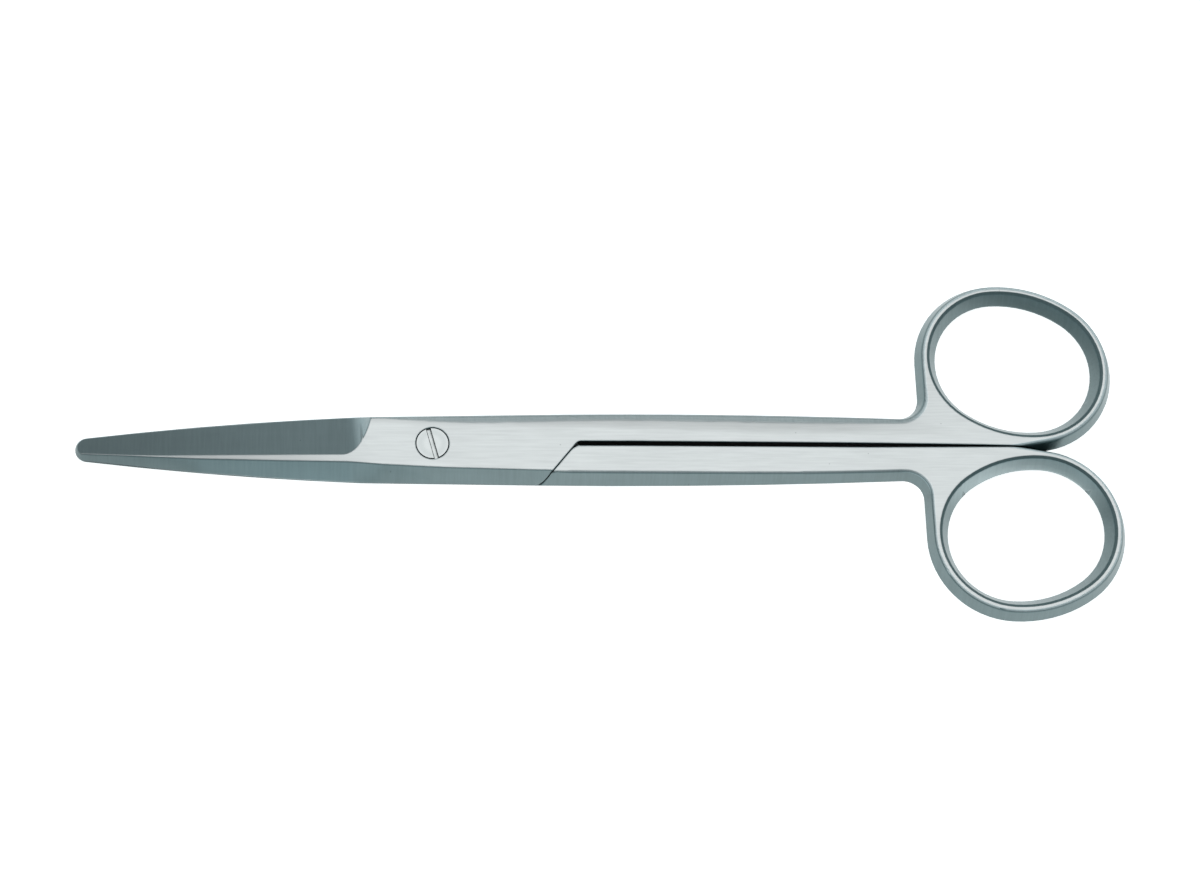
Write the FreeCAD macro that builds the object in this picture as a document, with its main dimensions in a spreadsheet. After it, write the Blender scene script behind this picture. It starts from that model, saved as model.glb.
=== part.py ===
"""Straight dissecting scissors with a screw joint, about 17 cm long.

Frame: the origin lies on the axis of the pivot screw, in the plane of the joint's back face.
+X runs towards the finger rings, +Y to the side of the upper ring, +Z out of the front face.
The two halves are the same forging turned half round about the long axis, apart from the screw holes
and a small difference in how their rings were bent. Each half is drawn about the middle plane between
the faces: its blade and its lap lie on the +Z side of that plane, its shank and ring on both sides.
"""

import FreeCAD, Part
import Sketcher
import math
import os
import re

SIZES = {
    # Outline of a half at the middle plane, where it is widest.
    "blade_length": 57.1,
    "tip_radius": 2.04,
    "blade_edge_radius": 560.0,
    "heel_distance": 11.6,
    "heel_half_width": 5.70,
    "joint_end": 14.0,
    "joint_half_width": 6.10,
    "shank_half_width": 5.46,
    "ring_corner_radius": 3.3,
    # Faces: half the thickness at the joint, at the rings and at the tip, and the draft of the forged sides.
    "half_thickness": 3.2,
    "ring_half_thickness": 2.4,
    "tip_thickness": 1.62,
    "blade_ease": 4.0,
    "side_draft": 21.0,
    "taper_start": 22.0,
    "taper_end": 82.0,
    # Finger rings: an oval of four arcs, given at its narrowest line inside.
    "ring_centre": 96.65,
    "upper_ring_offset": 14.40,
    "lower_ring_offset": 14.85,
    "ring_tilt": 16.0,
    "ring_half_length": 13.1,
    "ring_end_radius": 10.6,
    "ring_side_radius": 18.0,
    "ring_width": 3.45,
    "ring_draft": 31.0,
    # Slant of the spare metal under the shank, which the slit trims away.
    "spare_angle": 10.2,
    # Edges: rounding of the front one at the blade, at the joint and round the ring, of the back one, and a chamfer.
    "edge_round": 0.4,
    "crown_radius": 2.4,
    "ring_round": 0.8,
    "back_round": 0.6,
    "opening_chamfer": 0.3,
    # Slit between the shanks and the shoulder that runs across the joint.
    "slit_width": 0.78,
    "slit_bend": 58.0,
    "slit_end": 100.0,
    "ring_drop": 0.22,
    "ring_gap": 0.1,
    "shoulder_reach": 19.5,
    "shoulder_depth": 4.45,
    "shoulder_angle": 50.4,
    "shoulder_gap": 0.12,
    "lap_corner_radius": 5.0,
    "lap_corner_turn": 42.0,
    "inner_corner_radius": 1.2,
    "outer_corner_radius": 2.2,
    "running_clearance": 0.04,
    # Blade: the ground face that forms the cutting edge, the bevel of the back and the hollow inner face.
    "edge_thickness": 0.3,
    "facet_angle": 20.8,
    "facet_stop": 3.42,
    "grinding_wheel_radius": 7.0,
    "bevel_land": 0.2,
    "bevel_middle": 37.1,
    "bevel_heel": 24.0,
    "bevel_joint": 2.0,
    "bevel_end": 28.0,
    "bevel_tip_slope": 0.39,
    "bevel_middle_slope": 0.73,
    "bevel_heel_slope": 0.82,
    "bevel_joint_slope": 0.56,
    "bevel_end_slope": 0.45,
    "hollow_depth": 0.12,
    "hollow_half_width": 3.8,
    "hollow_tip_depth": 0.04,
    "hollow_tip_half_width": 1.1,
    # Pivot screw.
    "head_radius": 2.6,
    "head_height": 1.2,
    "journal_radius": 1.8,
    "thread_radius": 1.5,
    "screw_clearance": 0.05,
    "head_clearance": 0.1,
    "thread_clearance": 0.02,
    "slot_width": 0.75,
    "slot_depth": 0.6,
    "slot_angle": 14.2,
    "screw_chamfer": 0.3,
    # How far cutting shapes reach past the metal.
    "beyond": 12.0,
}

# How level a face lies: more than the first it is a front or back face, between the others a drafted side.
FACE_LEAN = 0.95
SIDE_LEAN = 0.6
STEEP_LEAN = 0.2

doc = FreeCAD.newDocument("dissecting_scissors")
sheet = doc.addObject("Spreadsheet::Sheet", "Sizes")
for row, (alias, value) in enumerate(SIZES.items(), start=1):
    sheet.set("A%d" % row, alias)
    sheet.set("B%d" % row, str(value))
    sheet.setAlias("B%d" % row, alias)
doc.recompute()


def bound(text):
    """Turn an expression in plain size names into one that reads the sheet."""
    names = "|".join(sorted(SIZES, key=len, reverse=True))
    return re.sub(r"\b(%s)\b" % names, r"Sizes.\1", text)


def number(text):
    """Present value of an expression in size names."""
    value = sheet.evalExpression(bound(text))
    return float(getattr(value, "Value", value))


def point(place):
    """Present place of a corner that is given by two expressions."""
    return FreeCAD.Vector(number(place[0]), number(place[1]), 0)


def new_sketch(body, name, role, offset=None):
    """Sketch on one of the body's own origin planes, moved off it by an expression where one is given."""
    sketch = body.newObject("Sketcher::SketchObject", name)
    plane = [item for item in body.Origin.OriginFeatures if item.Role == role][0]
    sketch.AttachmentSupport = [(plane, "")]
    sketch.MapMode = "FlatFace"
    if offset:
        sketch.setExpression("AttachmentOffset", bound(offset))
        doc.recompute()
    return sketch


def size(sketch, kind, *where):
    """Dimension in a sketch, bound to an expression in size names."""
    *places, text = where
    index = sketch.addConstraint(Sketcher.Constraint(kind, *places, number(text)))
    sketch.setExpression("Constraints[%d]" % index, bound(text))


def locate(sketch, geometry, end, place):
    """Fix one point of a piece of geometry by its two coordinates."""
    size(sketch, "DistanceX", -1, 1, geometry, end, place[0])
    size(sketch, "DistanceY", -1, 1, geometry, end, place[1])


def arc_about(sketch, centre, radius, start, finish):
    """Arc that runs anticlockwise about a centre between two directions in degrees."""
    circle = Part.Circle(centre, FreeCAD.Vector(0, 0, 1), radius)
    finish += 360 if finish < start else 0
    return sketch.addGeometry(Part.ArcOfCircle(circle, math.radians(start), math.radians(finish)), False)


def join(sketch, kind, one, one_end, other, other_end):
    """Join two ends, plainly or smoothly."""
    sketch.addConstraint(Sketcher.Constraint(kind, one, one_end, other, other_end))


def direction(spoke):
    """Direction of a vector in degrees."""
    return math.degrees(math.atan2(spoke.y, spoke.x))


def draw_arc(sketch, begin, centre, end, clockwise):
    """Arc of a loop about a centre, with the two ends that come first and last along the loop."""
    radius = begin.distanceToPoint(centre)
    first, last = direction(begin - centre), direction(end - centre)
    if clockwise:
        return arc_about(sketch, centre, radius, last, first), 2, 1
    return arc_about(sketch, centre, radius, first, last), 1, 2


def draw_loop(sketch, start, steps):
    """Closed loop through corners: each step is (corner,), (corner, point on its arc) or (corner, "tangent").

    A tangent step is an arc that leaves the piece before it smoothly. The last corner is the start again.
    """
    here = point(start)
    heading = None
    first = None
    for step in steps:
        end = point(step[0])
        tangent = step[-1] == "tangent"
        through = None
        if len(step) == 1:
            geometry, begin_end, finish_end = sketch.addGeometry(Part.LineSegment(here, end), False), 1, 2
            heading = end - here
        elif tangent:
            chord = end - here
            normal = FreeCAD.Vector(-heading.y, heading.x, 0).normalize()
            reach = chord.dot(chord) / (2 * chord.dot(normal))
            centre = here + normal * reach
            geometry, begin_end, finish_end = draw_arc(sketch, here, centre, end, reach < 0)
            spoke = (end - centre) * (1 if reach > 0 else -1)
            heading = FreeCAD.Vector(-spoke.y, spoke.x, 0)
        else:
            through = point(step[1])
            centre = Part.Circle(here, through, end).Center
            clockwise = (through - here).cross(end - through).z < 0
            geometry, begin_end, finish_end = draw_arc(sketch, here, centre, end, clockwise)
        if first is None:
            first, first_end = geometry, begin_end
            locate(sketch, geometry, begin_end, start)
        else:
            join(sketch, "Tangent" if tangent else "Coincident", last, last_end, geometry, begin_end)
        if step is steps[-1]:
            join(sketch, "Coincident", geometry, finish_end, first, first_end)
        else:
            locate(sketch, geometry, finish_end, step[0])
        if through is not None:
            marker = sketch.addGeometry(Part.Point(through), True)
            sketch.addConstraint(Sketcher.Constraint("PointOnObject", marker, 1, geometry))
            locate(sketch, marker, 1, step[1])
        last, last_end = geometry, finish_end
        here = end


def set_sizes(feature, **texts):
    """Bind properties of a feature to expressions in size names."""
    for name, text in texts.items():
        feature.setExpression(name, bound(text))


def cut(body, name, sketch, below, above="0", **more):
    """Pocket over a depth below the sketch, against its normal, and a height above it."""
    pocket = body.newObject("PartDesign::Pocket", name)
    pocket.Profile = sketch
    pocket.SideType = "Two sides"
    set_sizes(pocket, Length=below, Length2=above, **more)
    return pocket


# Places along the oval of a finger ring, measured from its middle: the centres of its end arcs lie on the long
# axis and those of its side arcs on the short one.
END_REACH = "(ring_half_length - ring_end_radius)"
SIDE_REACH = "sqrt((ring_side_radius - ring_end_radius)^2 - (ring_half_length - ring_end_radius)^2)"
ALONG = ("cos(ring_tilt)", "-sin(ring_tilt)")
ACROSS = ("sin(ring_tilt)", "cos(ring_tilt)")


def ring_place(ring_offset, along="0", across="0"):
    """Point of the ring's plane that lies so far along the oval's two axes."""
    return (
        "ring_centre + (%s) * %s + (%s) * %s" % (along, ALONG[0], across, ACROSS[0]),
        "%s + (%s) * %s + (%s) * %s" % (ring_offset, along, ALONG[1], across, ACROSS[1]),
    )


# Run of the blade's edge, and how steeply its outline and that of the joint widen beside the heel.
BLADE_RUN = "(blade_length - tip_radius - heel_distance)"
BLADE_SLOPE = "((heel_half_width - tip_radius) / %s - %s / (2 * blade_edge_radius))" % (BLADE_RUN, BLADE_RUN)
JOINT_SLOPE = "((joint_half_width - heel_half_width) / (joint_end + heel_distance))"


def blade_half_width(station):
    """Half width of the blade at a distance from the pivot, on the arc of its edge."""
    back = "((%s) - heel_distance)" % station
    return "heel_half_width - %s * %s - %s^2 / (2 * blade_edge_radius)" % (BLADE_SLOPE, back, back)


def joint_half_width(station):
    """Half width of the joint, which widens evenly from the heel of the blade towards the shanks."""
    return "joint_half_width + %s * ((%s) - joint_end)" % (JOINT_SLOPE, station)


def level_place(level):
    """Attachment offset that lifts a sketch along its normal."""
    return "placement(vector(0; 0; %s); rotation(vector(0; 0; 1); 0))" % level


def draw_outline(sketch, ring_offset, inset):
    """Outline of a half, so far inside its widest line, with spare metal across the slit."""
    tip_place = ("tip_radius - blade_length", "0")
    lean = "(%s + %s) / 2" % (JOINT_SLOPE, BLADE_SLOPE)
    heel_place = ("-heel_distance + %s * %s" % (inset, lean), "heel_half_width - %s" % inset)
    lower_heel_place = (heel_place[0], "-(%s)" % heel_place[1])
    joint_place = ("joint_end + %s * %s" % (inset, JOINT_SLOPE), "joint_half_width - %s" % inset)
    spare_x = "bevel_end + half_thickness"
    spare_place = (spare_x, "%s - (%s)" % (inset, joint_half_width(spare_x)))
    left_place = ring_place(ring_offset, "-" + END_REACH)
    right_place = ring_place(ring_offset, END_REACH)
    top_place = ring_place(ring_offset, "0", "-" + SIDE_REACH)
    rise = "((%s) - (%s)) * tan(spare_angle)" % (right_place[0], spare_x)
    drop = "(ring_end_radius + ring_width - %s) / cos(spare_angle)" % inset
    foot_place = (spare_x, "%s - (%s) - %s" % (right_place[1], rise, drop))

    tip_centre, heel, lower_heel = point(tip_place), point(heel_place), point(lower_heel_place)
    tip_radius = number("tip_radius - %s" % inset)
    edge_radius = number("blade_edge_radius - %s" % inset)
    span = heel - tip_centre
    reach = ((edge_radius - tip_radius) ** 2 - edge_radius**2 + span.Length**2) / (2 * span.Length)
    depth = math.sqrt((edge_radius - tip_radius) ** 2 - reach**2)
    along = FreeCAD.Vector(span).normalize()
    edge_centre = tip_centre + along * reach + FreeCAD.Vector(along.y, -along.x, 0) * depth
    tangent = direction(tip_centre - edge_centre)
    tip = arc_about(sketch, tip_centre, tip_radius, tangent, 360 - tangent)
    locate(sketch, tip, 3, tip_place)
    size(sketch, "Radius", tip, "tip_radius - %s" % inset)
    upper_edge = arc_about(sketch, edge_centre, edge_radius, direction(heel - edge_centre), tangent)
    join(sketch, "Tangent", tip, 1, upper_edge, 2)
    locate(sketch, upper_edge, 1, heel_place)
    size(sketch, "Radius", upper_edge, "blade_edge_radius - %s" % inset)

    left_centre, right_centre, top_centre = point(left_place), point(right_place), point(top_place)
    end_radius = number("ring_end_radius + ring_width - %s" % inset)
    side_radius = number("ring_side_radius + ring_width - %s" % inset)
    corner_radius = number("ring_corner_radius + %s" % inset)
    side_x = left_centre.x - end_radius
    joint_corner = point(joint_place)
    joint_edge = sketch.addGeometry(Part.LineSegment(heel, joint_corner), False)
    join(sketch, "Coincident", upper_edge, 1, joint_edge, 1)
    locate(sketch, joint_edge, 2, joint_place)
    shank_corner = FreeCAD.Vector(side_x - corner_radius, number("shank_half_width - %s" % inset), 0)
    heading = (joint_corner - heel).normalize()
    inward = FreeCAD.Vector(heading.y, -heading.x, 0)
    chord = shank_corner - joint_corner
    shank_radius = chord.dot(chord) / (2 * chord.dot(inward))
    shank_centre = joint_corner + inward * shank_radius
    shank = arc_about(
        sketch, shank_centre, shank_radius, direction(shank_corner - shank_centre), direction(inward * -1)
    )
    join(sketch, "Tangent", joint_edge, 2, shank, 2)
    size(sketch, "DistanceY", -1, 1, shank, 1, "shank_half_width - %s" % inset)
    corner_centre = FreeCAD.Vector(side_x - corner_radius, shank_corner.y + corner_radius, 0)
    corner = arc_about(sketch, corner_centre, corner_radius, -90, 0)
    join(sketch, "Tangent", shank, 1, corner, 1)
    size(sketch, "Radius", corner, "ring_corner_radius + %s" % inset)
    side_low = FreeCAD.Vector(side_x, corner_centre.y, 0)
    side_high = FreeCAD.Vector(side_x, left_centre.y, 0)
    side = sketch.addGeometry(Part.LineSegment(side_low, side_high), False)
    sketch.addConstraint(Sketcher.Constraint("Vertical", side))
    join(sketch, "Tangent", corner, 2, side, 1)

    left = arc_about(sketch, left_centre, end_radius, direction(left_centre - top_centre), 180)
    top = arc_about(
        sketch, top_centre, side_radius, direction(right_centre - top_centre), direction(left_centre - top_centre)
    )
    foot = point(foot_place)
    right_start = number("spare_angle - 90")
    right = arc_about(sketch, right_centre, end_radius, right_start, direction(right_centre - top_centre))
    join(sketch, "Tangent", side, 2, left, 2)
    locate(sketch, left, 3, left_place)
    size(sketch, "Radius", left, "ring_end_radius + ring_width - %s" % inset)
    join(sketch, "Tangent", left, 1, top, 2)
    size(sketch, "Radius", top, "ring_side_radius + ring_width - %s" % inset)
    join(sketch, "Tangent", top, 1, right, 2)
    locate(sketch, right, 3, right_place)
    size(sketch, "Radius", right, "ring_end_radius + ring_width - %s" % inset)

    spare = sketch.addGeometry(Part.LineSegment(sketch.Geometry[right].StartPoint, foot), False)
    join(sketch, "Tangent", right, 1, spare, 1)
    locate(sketch, spare, 2, foot_place)
    step = sketch.addGeometry(Part.LineSegment(foot, point(spare_place)), False)
    join(sketch, "Coincident", spare, 2, step, 1)
    locate(sketch, step, 2, spare_place)
    lower_joint = sketch.addGeometry(Part.LineSegment(point(spare_place), lower_heel), False)
    join(sketch, "Coincident", step, 2, lower_joint, 1)
    locate(sketch, lower_joint, 2, lower_heel_place)
    lower_centre = FreeCAD.Vector(edge_centre.x, -edge_centre.y, 0)
    lower_edge = arc_about(sketch, lower_centre, edge_radius, -tangent, direction(lower_heel - lower_centre))
    join(sketch, "Coincident", lower_joint, 2, lower_edge, 2)
    join(sketch, "Tangent", lower_edge, 1, tip, 2)
    size(sketch, "Radius", lower_edge, "blade_edge_radius - %s" % inset)


def draw_oval(sketch, ring_offset, outset):
    """Opening of a finger ring, so far outside its narrowest line: four arcs that meet smoothly."""
    centres = {
        "left": point(ring_place(ring_offset, "-" + END_REACH)),
        "right": point(ring_place(ring_offset, END_REACH)),
        "top": point(ring_place(ring_offset, "0", "-" + SIDE_REACH)),
        "bottom": point(ring_place(ring_offset, "0", SIDE_REACH)),
    }
    end_radius = number("ring_end_radius + %s" % outset)
    side_radius = number("ring_side_radius + %s" % outset)
    left_top = direction(centres["left"] - centres["top"])
    right_top = direction(centres["right"] - centres["top"])
    left_bottom = direction(centres["left"] - centres["bottom"]) % 360
    right_bottom = direction(centres["right"] - centres["bottom"])
    right = arc_about(sketch, centres["right"], end_radius, right_bottom, right_top)
    top = arc_about(sketch, centres["top"], side_radius, right_top, left_top)
    left = arc_about(sketch, centres["left"], end_radius, left_top, left_bottom)
    bottom = arc_about(sketch, centres["bottom"], side_radius, left_bottom, right_bottom + 360)
    for one, other in ((right, top), (top, left), (left, bottom), (bottom, right)):
        join(sketch, "Tangent", one, 2, other, 1)
    locate(sketch, left, 3, ring_place(ring_offset, "-" + END_REACH))
    locate(sketch, right, 3, ring_place(ring_offset, END_REACH))
    for geometry, radius in ((left, "end"), (right, "end"), (top, "side"), (bottom, "side")):
        size(sketch, "Radius", geometry, "ring_%s_radius + %s" % (radius, outset))


def face_profile(side):
    """Side view of the metal to take off one face: the blade thins to its tip, the shank to the ring."""
    half_way = "(taper_start + taper_end) / 2"
    mean = "(half_thickness + ring_half_thickness) / 2"
    fall = "(half_thickness - tip_thickness) / (blade_length - heel_distance)"
    ease = "blade_ease"
    corners = (
        ("-blade_length - beyond", "beyond"),
        ("-blade_length - beyond", "tip_thickness - %s * beyond" % fall),
        ("-heel_distance - " + ease, "half_thickness - %s * %s" % (fall, ease)),
        ("-heel_distance + " + ease, "half_thickness"),
        ("taper_start", "half_thickness"),
        (half_way, mean),
        ("taper_end", "ring_half_thickness"),
        ("ring_centre + ring_half_length + ring_width + beyond", "ring_half_thickness"),
        ("ring_centre + ring_half_length + ring_width + beyond", "beyond"),
    )
    corners = [(x, "%s(%s)" % (side, z)) for x, z in corners]
    smooth = {3, 5, 6}
    steps = [(corner, "tangent") if index in smooth else (corner,) for index, corner in enumerate(corners)]
    return corners[0], steps[1:] + [(corners[0],)]


def shoulder_point(sideways="0", along="0", side=""):
    """Place near the shoulder: from its foot so far to the right of it and so far up along it."""
    x = "shoulder_reach + (%s) * sin(shoulder_angle) + (%s) * cos(shoulder_angle)" % (sideways, along)
    y = "-shoulder_depth - (%s) * cos(shoulder_angle) + (%s) * sin(shoulder_angle)" % (sideways, along)
    return (x, "%s(%s)" % (side, y))


def lap_corner_point(radius, turn, side=""):
    """Place on an arc about the centre of the lap's rounded corner, so many degrees before the shoulder."""
    x = "shoulder_reach - lap_corner_radius * sin(shoulder_angle) + (%s) * sin(shoulder_angle - (%s))" % (radius, turn)
    y = "-shoulder_depth + lap_corner_radius * cos(shoulder_angle) - (%s) * cos(shoulder_angle - (%s))" % (radius, turn)
    return (x, "%s(%s)" % (side, y))


def cut_slit(body, name, contact):
    """Trim the half along the slit, the shoulder and the rounded corner of its lap, through its thickness."""
    sketch = new_sketch(body, name + "_slit_sketch", "XY_Plane")
    start = lap_corner_point("lap_corner_radius", "lap_corner_turn")
    wall = "slit_width / 2"
    climb = "(shoulder_depth + %s) / sin(shoulder_angle)" % wall
    soften = "inner_corner_radius * tan(shoulder_angle / 2)"
    corner_x = "shoulder_reach + (shoulder_depth + %s) / tan(shoulder_angle)" % wall
    far = "slit_end + ring_half_length + beyond"
    steps = [
        (shoulder_point(), lap_corner_point("lap_corner_radius", "lap_corner_turn / 2")),
        (shoulder_point("0", "%s - %s" % (climb, soften)),),
        (("%s + %s" % (corner_x, soften), wall), "tangent"),
        (("slit_bend", wall),),
        (("slit_end", contact), "tangent"),
        ((far, contact),),
        ((far, "-2 * beyond"),),
        ((start[0], "-2 * beyond"),),
        (start,),
    ]
    draw_loop(sketch, start, steps)
    return cut(body, name + "_slit", sketch, "beyond", "beyond")


def cut_lap(body, name):
    """Take the rear half of the thickness off the blade and the joint, up to a shoulder that fits the other lap."""
    sketch = new_sketch(body, name + "_lap_sketch", "XY_Plane", level_place("running_clearance / 2"))
    radius = "lap_corner_radius + shoulder_gap"
    start = lap_corner_point(radius, "lap_corner_turn", "-")
    wall = "slit_width / 2"
    climb = "((shoulder_depth + shoulder_gap * cos(shoulder_angle) - %s) / sin(shoulder_angle))" % wall
    soften = "outer_corner_radius * tan(shoulder_angle / 2)"
    turn_x = "shoulder_reach + shoulder_gap * sin(shoulder_angle) + %s * cos(shoulder_angle)" % climb
    landing = "%s + %s / 2" % (turn_x, soften)
    steps = [
        (shoulder_point("shoulder_gap", "0", "-"), lap_corner_point(radius, "lap_corner_turn / 2", "-")),
        (shoulder_point("shoulder_gap", "%s - %s" % (climb, soften), "-"),),
        ((landing, wall), "tangent"),
        ((landing, "-2 * beyond"),),
        (("-blade_length - beyond", "-2 * beyond"),),
        (("-blade_length - beyond", "2 * beyond"),),
        ((start[0], "2 * beyond"),),
        (start,),
    ]
    draw_loop(sketch, start, steps)
    return cut(body, name + "_lap", sketch, "beyond")


def loft(body, kind, name, sections, ruled):
    """Loft through sketches, adding or cutting."""
    feature = body.newObject("PartDesign::%sLoft" % kind, name)
    feature.Profile = sections[0]
    feature.Sections = sections[1:]
    feature.Ruled = ruled
    return feature


def forge(body, name, ring_offset):
    """Forged bar with drafted sides, widest in its middle plane."""
    sections = []
    for label, level in (("back", "-half_thickness"), ("middle", "0"), ("front", "half_thickness")):
        sketch = new_sketch(body, "%s_outline_%s" % (name, label), "XY_Plane", level_place(level))
        inset = "0" if level == "0" else "half_thickness * tan(side_draft)"
        draw_outline(sketch, ring_offset, inset)
        sections.append(sketch)
    return loft(body, "Additive", name + "_forging", sections, True)


def open_ring(body, name, ring_offset):
    """Cut the opening of the finger ring, which flares towards both faces."""
    sections = []
    for label, level in (("back", "-half_thickness"), ("middle", "0"), ("front", "half_thickness")):
        sketch = new_sketch(body, "%s_ring_%s" % (name, label), "XY_Plane", level_place(level))
        draw_oval(sketch, ring_offset, "0" if level == "0" else "half_thickness * tan(ring_draft)")
        sections.append(sketch)
    return loft(body, "Subtractive", name + "_ring", sections, True)


def bevel_back(body, name):
    """Grind the back of the blade: a bevel that is steep at the joint and leans over most near the heel."""
    wall = "tan(side_draft)"
    stations = (
        ("blade_length + tip_radius", "bevel_tip_slope"),
        ("bevel_middle", "bevel_middle_slope"),
        ("bevel_heel", "bevel_heel_slope"),
        ("heel_distance + bevel_joint", "bevel_heel_slope"),
        ("(heel_distance + bevel_joint) * 0.6", "(bevel_heel_slope + bevel_joint_slope) / 2"),
        ("-bevel_joint", "bevel_joint_slope"),
        ("-joint_end", "(bevel_joint_slope + bevel_end_slope) / 2"),
        ("-bevel_end", "bevel_end_slope"),
    )
    sections = []
    for index, (station, slope) in enumerate(stations):
        sketch = new_sketch(body, "%s_bevel_sketch_%d" % (name, index), "YZ_Plane", level_place("-(%s)" % station))
        width = blade_half_width(station) if index < 4 else joint_half_width("-(%s)" % station)
        foot = "bevel_land * %s - (%s)" % (wall, width)
        low = ("%s - half_thickness / 2 * %s" % (foot, slope), "bevel_land - half_thickness / 2")
        high = ("%s + half_thickness * 1.5 * %s" % (foot, slope), "bevel_land + half_thickness * 1.5")
        outside = ("%s - half_thickness" % low[0], high[1])
        draw_loop(sketch, low, [(high,), (outside,), (low,)])
        sections.append(sketch)
    return loft(body, "Subtractive", name + "_bevel", sections, True)


def grind_edge(body, name):
    """Grind the flat that forms the cutting edge, up to the hollow that the wheel leaves at its end."""
    run = "(blade_length - tip_radius - heel_distance)"
    slope = "atan((heel_half_width - tip_radius) / %s)" % run
    offset = (
        "placement(vector(-heel_distance; edge_thickness; -heel_half_width); "
        "rotation(vector(0; 1; 0); %s) * rotation(vector(1; 0; 0); -facet_angle))" % slope
    )
    sketch = new_sketch(body, name + "_edge_sketch", "XZ_Plane", offset)
    wheel = "grinding_wheel_radius"
    start = ("-blade_length - beyond", "0")
    quarter = ("-facet_stop + %s * sin(45)" % wheel, "%s - %s * cos(45)" % (wheel, wheel))
    steps = [
        (("-facet_stop", "0"),),
        (("-facet_stop + " + wheel, wheel), quarter),
        (("-facet_stop + " + wheel, "2 * beyond"),),
        ((start[0], "2 * beyond"),),
        (start,),
    ]
    draw_loop(sketch, start, steps)
    return cut(body, name + "_edge", sketch, "2 * beyond", "2 * beyond")


def hollow_blade(body, name):
    """Hollow the inner face of the blade a little, so that the blades meet at their edges."""
    stations = (
        ("-heel_distance + blade_ease", "hollow_half_width", "hollow_depth"),
        ("-blade_length + tip_radius", "hollow_tip_half_width", "hollow_tip_depth"),
    )
    sections = []
    for index, (station, half_width, depth) in enumerate(stations):
        sketch = new_sketch(body, "%s_hollow_sketch_%d" % (name, index), "YZ_Plane", level_place(station))
        level = "running_clearance / 2"
        start = ("-" + half_width, level)
        steps = [
            ((half_width, level), ("0", "%s + %s" % (level, depth))),
            ((half_width, "-half_thickness"),),
            (("-" + half_width, "-half_thickness"),),
            (start,),
        ]
        draw_loop(sketch, start, steps)
        sections.append(sketch)
    return loft(body, "Subtractive", name + "_hollow", sections, True)


def drill(body, name, radius, level, depth):
    """Round hole about the pivot axis from a level downwards."""
    sketch = new_sketch(body, name + "_sketch", "XY_Plane", level_place(level))
    circle = sketch.addGeometry(Part.Circle(FreeCAD.Vector(), FreeCAD.Vector(0, 0, 1), number(radius)), False)
    sketch.addConstraint(Sketcher.Constraint("Coincident", circle, 3, -1, 1))
    size(sketch, "Radius", circle, radius)
    return cut(body, name, sketch, depth)


def new_body(name, base=None):
    """Body that starts empty, or from the shape of another object."""
    body = doc.addObject("PartDesign::Body", name)
    body.Label = name
    if base:
        body.BaseFeature = base
    doc.recompute()
    return body


def break_edges(kind, name, base, size_at):
    """Fillet or chamfer on the edges between a face and a drafted side where size_at gives a size for both ends."""
    shape = base.Shape
    chosen = []
    for index, edge in enumerate(shape.Edges, start=1):
        sides = shape.ancestorsOfType(edge, Part.Face)
        lean = sorted(abs(face.normalAt(*face.Surface.parameter(edge.CenterOfMass)).z) for face in sides)
        ends = [size_at(edge.CenterOfMass, vertex.X) for vertex in (edge.firstVertex(), edge.lastVertex())]
        if all(ends) and STEEP_LEAN < lean[0] < SIDE_LEAN and lean[-1] > FACE_LEAN:
            chosen.append((index, ends[0], ends[1]))
    broken = doc.addObject("Part::" + kind, name)
    broken.Base = base
    broken.Edges = chosen
    doc.recompute()
    return broken


def crown(middle, station):
    """Radius of the front edge of the outline: small on the blade, full at the end of the joint."""
    if middle.z < 0 or middle.y < 0:
        return None
    ring_start = number("ring_centre - ring_half_length - ring_width")
    heel, joint = -number("heel_distance"), number("taper_start")
    if station < heel:
        return number("edge_round")
    if station < joint:
        share = max(0, station - heel) / (joint - heel)
        return number("edge_round + (crown_radius - edge_round) * %f" % math.sqrt(share))
    share = max(0, ring_start - station) / (ring_start - joint)
    return number("ring_round + (crown_radius - ring_round) * %f" % math.sqrt(share))


def in_ring(middle):
    """Whether an edge belongs to the opening of the finger ring."""
    centre = point(("ring_centre", "upper_ring_offset"))
    centre.z = middle.z
    return middle.distanceToPoint(centre) < number("ring_half_length + ring_width / 2")


def back_round(middle, station):
    """Radius of the back edge of the outline, behind the lap."""
    behind = middle.z < -number("ring_half_thickness * 0.9")
    return number("back_round") if behind and not in_ring(middle) else None


def opening_chamfer(middle, station):
    """Size of the chamfer on both edges of the ring's opening."""
    return number("opening_chamfer") if in_ring(middle) else None


def make_half(name, ring_offset, contact):
    """One half of the scissors, drawn about the middle plane with its blade on the +Z side."""
    blank = new_body(name + "_blank")
    forge(blank, name, ring_offset)
    faces = new_sketch(blank, name + "_faces_sketch", "XZ_Plane")
    for side in ("", "-"):
        draw_loop(faces, *face_profile(side))
    cut(blank, name + "_faces", faces, "4 * beyond", "4 * beyond")
    doc.recompute()
    crowned = break_edges("Fillet", name + "_crowned", blank, crown)
    shaped = new_body(name + "_shaped", crowned)
    cut_slit(shaped, name, contact)
    cut_lap(shaped, name)
    open_ring(shaped, name, ring_offset)
    bevel_back(shaped, name)
    doc.recompute()
    eased = break_edges("Fillet", name + "_eased", shaped, back_round)
    eased = break_edges("Chamfer", name + "_opened", eased, opening_chamfer)
    body = new_body(name, eased)
    grind_edge(body, name)
    hollow_blade(body, name)
    return body


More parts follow.
